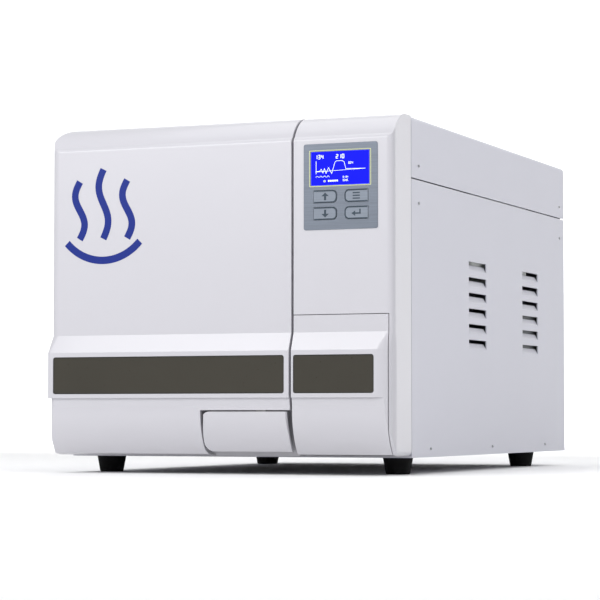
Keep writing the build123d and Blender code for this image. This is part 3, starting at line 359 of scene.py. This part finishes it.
def digits(text, x, z, height, line):
    """Strokes of a row of digits that starts at (x, z)."""
    loops = []
    for i, symbol in enumerate(text):
        left = x + i * height * DIGIT_PITCH
        for segment in DIGITS[symbol]:
            ends = [
                (left + u * height * DIGIT_W, z + v * height / 2) for u, v in SEGMENTS[segment]
            ]
            loops.append(stroke(ends, line))
    return loops


# ---- display: readings, a cycle graph and two rows of small marks ----
PRINT_RISE = 0.05
BIG, MIDDLE, SMALL = (4.4, 0.7), (2.4, 0.4), (2.0, 0.35)  # height and line of the digits
READINGS = (
    ("134", 126.5, 366.5, BIG),
    ("210", 152.5, 366.5, BIG),
    ("024", 168.0, 359.5, MIDDLE),
    ("0134", 161.0, 343.5, SMALL),
    ("0205", 161.0, 339.8, SMALL),
)
PULSES = ((128, 352.0), (132, 352), (134, 354.5), (136, 350), (138, 355), (140, 349.5))
CLIMB = ((143, 356), (147, 349.0), (151, 362.0))
HOLD_AND_DRY = ((153, 363.5), (160, 363.5), (162.5, 362), (164.5, 354.0), (188, 353.5))
GRAPH_LINES = (
    (PULSES + CLIMB + HOLD_AND_DRY, 0.5),
    (((127.5, 349.0), (127.5, 364.0)), 0.5),  # upright axis
    (((126.5, 351.5), (189, 353.6)), 0.35),  # axis along the bottom
)
BLOCK, BLOCK_STEP, BLOCK_COUNT = (142.5, 144.3, 339.6, 341.6), 2.6, 5
CHEVRON = ((0, 0), (2, 1.6), (4, 0))
CHEVRON_X, CHEVRON_Z, CHEVRON_STEP, CHEVRON_COUNT, CHEVRON_LINE = 127, 345, 4.5, 4, 0.4
LAMP, LAMP_R = (136.5, 139.5, 339.2, 341.6), 1.1
OUTLINE_SIDE, OUTLINE_BELOW, OUTLINE_ABOVE = 2.6, 1.8, 2.0  # clear of the window
OUTLINE_R, OUTLINE_LINE = 1.0, 0.8

screen = [loop for text, x, z, size in READINGS for loop in digits(text, x, z, *size)]
screen += [stroke(points, line) for points, line in GRAPH_LINES]
for i in range(BLOCK_COUNT):
    left, right = (edge + BLOCK_STEP * i for edge in BLOCK[:2])
    screen.append(round_loop((left, right, *BLOCK[2:]), LEAST_CORNER))
for i in range(CHEVRON_COUNT):
    chevron = moved(CHEVRON_X + CHEVRON_STEP * i, CHEVRON_Z, CHEVRON)
    screen.append(stroke(chevron, CHEVRON_LINE))
outline_box = (
    WINDOW[0] - OUTLINE_SIDE,
    WINDOW[1] + OUTLINE_SIDE,
    WINDOW[2] - OUTLINE_BELOW,
    WINDOW[3] + OUTLINE_ABOVE,
)
window_frame = frame_loops(outline_box, OUTLINE_R, 0.0, OUTLINE_LINE)
lamp = [round_loop(LAMP, LAMP_R)]
prints("display_marks", screen, WINDOW_Y, PRINT_RISE, white_pixels, "cabinet")
prints("display_lamp_mark", lamp, WINDOW_Y, PRINT_RISE, pale_yellow, "cabinet")
prints(
    "display_outline", window_frame, PLATE_Y, PRINT_RISE, pale_yellow, "cabinet"
)

# ---- keys: an open D-shaped line and a symbol on each, placed from the key's middle ----
KEY_MARGIN, KEY_LINE = 0.7, 1.3
SAME_POINT = 1e-6
ARROW = ((-4.6, 0.4), (0, 4.6), (4.6, 0.4))
SHAFT = ((-1.3, 0.4), (1.3, 0.4), (1.3, -4.4), (-1.3, -4.4))
BAR = ((-4.4, -0.75), (4.4, -0.75), (4.4, 0.75), (-4.4, 0.75))
BAR_STEP = 3.2
HOOK, HOOK_LINE = ((4.6, 4.0), (4.6, -0.8), (-1.6, -0.8)), 1.7
HOOK_TIP = ((-6.0, -0.8), (-1.4, 2.3), (-1.4, -3.9))


def key_symbol(node, x, z):
    """The printed symbol of one key: an arrow, three bars or a return arrow."""
    if node == "key_menu":
        return [moved(x, z + rise, BAR) for rise in (-BAR_STEP, 0, BAR_STEP)]
    if node == "key_enter":
        return [stroke(moved(x, z, HOOK), HOOK_LINE), moved(x, z, HOOK_TIP)]
    up = 1 if node == "key_up" else -1
    return [moved(x, z, ARROW, up), moved(x, z, SHAFT, up)]


def key_outline(x, z, side):
    """The line round a key, open at the straight end away from side."""
    half_w, half_h, r = KEY_W / 2 - KEY_MARGIN, KEY_H / 2 - KEY_MARGIN, KEY_R - KEY_MARGIN
    start_x, bend_x = x - side * half_w, x + side * (half_w - r)
    outward = 90 - side * 90
    points = [(start_x, z + half_h)]
    points += arc(bend_x, z + half_h - r, r, 90, outward)
    points += arc(bend_x, z - half_h + r, r, outward, outward - side * 90)
    points += [(start_x, z - half_h)]
    apart = [b for a, b in zip(points, points[1:]) if math.dist(a, b) >= SAME_POINT]
    return points[:1] + apart


for node, x, z, side in KEYS:
    loops = [stroke(key_outline(x, z, side), KEY_LINE)] + key_symbol(node, x, z)
    prints(node + "_marks", loops, KEY_Y, PRINT_RISE, navy, node)

# ---- trim strips' dark edges ----
STRIP_R, STRIP_INSET, STRIP_LINE, STRIP_RISE = 3.0, 0.1, 1.3, 0.06
for name, box, body in (
    ("door_strip_edge", DOOR_STRIP, "door"),
    ("flap_strip_edge", FLAP_STRIP, "flap"),
):
    loops = frame_loops(box, STRIP_R, STRIP_INSET, STRIP_LINE)
    prints(name, loops, STRIP_Y, STRIP_RISE, strip_edge, body)

# ---- door emblem: plain rising steam over a dish ----
EMBLEM_X, EMBLEM_LINE, EMBLEM_RISE = -150, 9.0, 0.12
STEAM_FOOT, STEAM_SWING = 282, 6.5
STEAM = ((-32, 352), (0, 366), (32, 352))  # place from the middle, and top
DISH_Z, DISH_R, DISH_FROM, DISH_TO, DISH_STEPS = 322, 66, 222, 318, 24

emblem = [
    stroke(wave(EMBLEM_X + aside, STEAM_FOOT, top, STEAM_SWING), EMBLEM_LINE)
    for aside, top in STEAM
]
dish = arc(EMBLEM_X, DISH_Z, DISH_R, DISH_FROM, DISH_TO, DISH_STEPS)
emblem.append(stroke(dish, EMBLEM_LINE))
prints("door_emblem", emblem, FACE_Y, EMBLEM_RISE, emblem_blue, "door")

# ---- cabinet screws: pan heads with a sunk centre, the shade in it painted dark ----
HEAD_PROFILE = (  # shares of the radius and of the height, from the rim to the recess
    (1, 0),
    (1, 0.35),
    (0.88, 0.75),
    (0.62, 0.98),
    (0.5, 1.0),
    (0.46, 0.35),
    (0.2, 0.25),
)
RECESS_LEVEL = 4  # where the recess starts in the profile
HEAD_SIDES = 20
HEAD_H = 1.0 * MM
INNER_X = 0.21  # screws nearer the middle than this hold the rear panel
WELD = 1e-5


def pan_head(bm, centre, out, radius):
    """One screw head standing on a face, out being the way it points."""
    turn = Vector((0, 0, 1)).rotation_difference(Vector(out)).to_matrix().to_4x4()
    place = Matrix.Translation(Vector(centre)) @ turn
    turns = [2 * math.pi * i / HEAD_SIDES for i in range(HEAD_SIDES)]
    rings = []
    for share, up in HEAD_PROFILE:
        r = radius * share
        points = [Vector((r * math.cos(t), r * math.sin(t), HEAD_H * up)) for t in turns]
        rings.append([bm.verts.new(place @ point) for point in points])
    for level, (lower, upper) in enumerate(zip(rings, rings[1:])):
        for i in range(HEAD_SIDES):
            j = (i + 1) % HEAD_SIDES
            face = bm.faces.new((lower[i], lower[j], upper[j], upper[i]))
            # faces of the sunk centre take material 1, the painted recess shade
            face.material_index = 1 if level >= RECESS_LEVEL else 0
            face.smooth = True
    bm.faces.new(rings[-1]).material_index = 1
    bm.faces.new(rings[0][::-1])


def islands(node):
    """Low and high corner of each separate solid of a CAD node, in a fixed order."""
    bm = bmesh.new()
    bm.from_mesh(frame["nodes"][node].data)
    bmesh.ops.remove_doubles(bm, verts=bm.verts, dist=WELD)
    left, found = set(bm.verts), []
    while left:
        queue, group = [left.pop()], []
        while queue:
            vert = queue.pop()
            group.append(vert.co.copy())
            for edge in vert.link_edges:
                other = edge.other_vert(vert)
                if other in left:
                    left.remove(other)
                    queue.append(other)
        low = Vector([min(c[k] for c in group) for k in range(3)])
        high = Vector([max(c[k] for c in group) for k in range(3)])
        found.append((low, high))
    bm.free()
    return sorted(found, key=lambda pair: tuple(round(c, 5) for c in pair[0]))


heads = bmesh.new()
for low, high in islands("cabinet_screws"):
    middle = (low + high) / 2
    if high.x - low.x < high.y - low.y or abs(middle.x) < INNER_X:  # on the rear panel
        centre, out = (middle.x, high.y - HEAD_H, middle.z), (0, 1, 0)
        radius = (high.x - low.x) / 2
    else:
        side = 1 if middle.x > 0 else -1
        edge = high.x if side > 0 else low.x
        centre, out = (edge - side * HEAD_H, middle.y, middle.z), (side, 0, 0)
        radius = (high.z - low.z) / 2
    pan_head(heads, centre, out, radius)
bmesh.ops.recalc_face_normals(heads, faces=heads.faces)
# the second material paints the shade in each sunk centre
screw_materials = [SLOTS["zinc_steel"], painted_recess_shade]
screw_heads = piece("screw_heads", heads, screw_materials, "cabinet")
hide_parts("cabinet_screws")

# ---- floor with a curved backdrop, in metres ----
FLOOR_HALF, FLOOR_FRONT, WALL_TOP = 12.0, -8.0, 8.0
BEND_Y, BEND_R, BEND_STEP = 4.0, 2.0, 10

profile = [(FLOOR_FRONT, 0.0), (0.0, 0.0), (BEND_Y, 0.0)]
for angle in range(BEND_STEP, 91, BEND_STEP):
    t = math.radians(angle)
    profile.append((BEND_Y + BEND_R * math.sin(t), BEND_R - BEND_R * math.cos(t)))
profile.append((BEND_Y + BEND_R, WALL_TOP))
bm = bmesh.new()
rows = [[bm.verts.new((x, y, z)) for x in (-FLOOR_HALF, FLOOR_HALF)] for y, z in profile]
for near, far in zip(rows, rows[1:]):
    bm.faces.new((near[0], near[1], far[1], far[0])).smooth = True
floor = mesh_object("floor", bm, [floor_white])

# ---- light ----
SKY, SKY_STRENGTH = (0.97, 0.98, 1.0, 1), 0.5
LIGHTS = (  # name, place, point aimed at, size, power
    ("key_light", (-0.7, -2.0, 1.25), (-0.05, -0.3, 0.36), 1.2, 27),
    ("side_light", (1.9, -1.1, 1.5), (0.2, -0.1, 0.3), 1.2, 16),
    ("top_light", (0.0, 0.3, 2.8), (0, 0.2, 0), 2.5, 27),
    ("back_light", (-0.5, 2.4, 3.0), (-0.8, 6.0, 1.2), 3.0, 330),
)

bpy.context.scene.view_settings.view_transform = "Standard"
world = bpy.data.worlds.new("studio")
bpy.context.scene.world = world
world.use_nodes = True
background = world.node_tree.nodes["Background"]
background.inputs["Color"].default_value = SKY
background.inputs["Strength"].default_value = SKY_STRENGTH

for name, place, aim, size, power in LIGHTS:
    data = bpy.data.lights.new(name, "AREA")
    data.size = size
    data.energy = power
    light = bpy.data.objects.new(name, data)
    light.location = place
    light.rotation_euler = (Vector(aim) - Vector(place)).to_track_quat("-Z", "Y").to_euler()
    bpy.context.scene.collection.objects.link(light)

# ---- camera, fitted to the photo ----
LENS, SENSOR = 138.79, 36.0
CAMERA_PLACE = (1.14474, -2.81418, 0.06936)
TILT, TURN = 0.0499, 0.3974  # radians above the horizon and round Z

camera_data = bpy.data.cameras.new("camera")
camera_data.lens = LENS
camera_data.sensor_width = SENSOR
camera = bpy.data.objects.new("camera", camera_data)
camera.location = CAMERA_PLACE
camera.rotation_euler = (math.pi / 2 + TILT, 0.0, TURN)
bpy.context.scene.collection.objects.link(camera)
bpy.context.scene.camera = camera
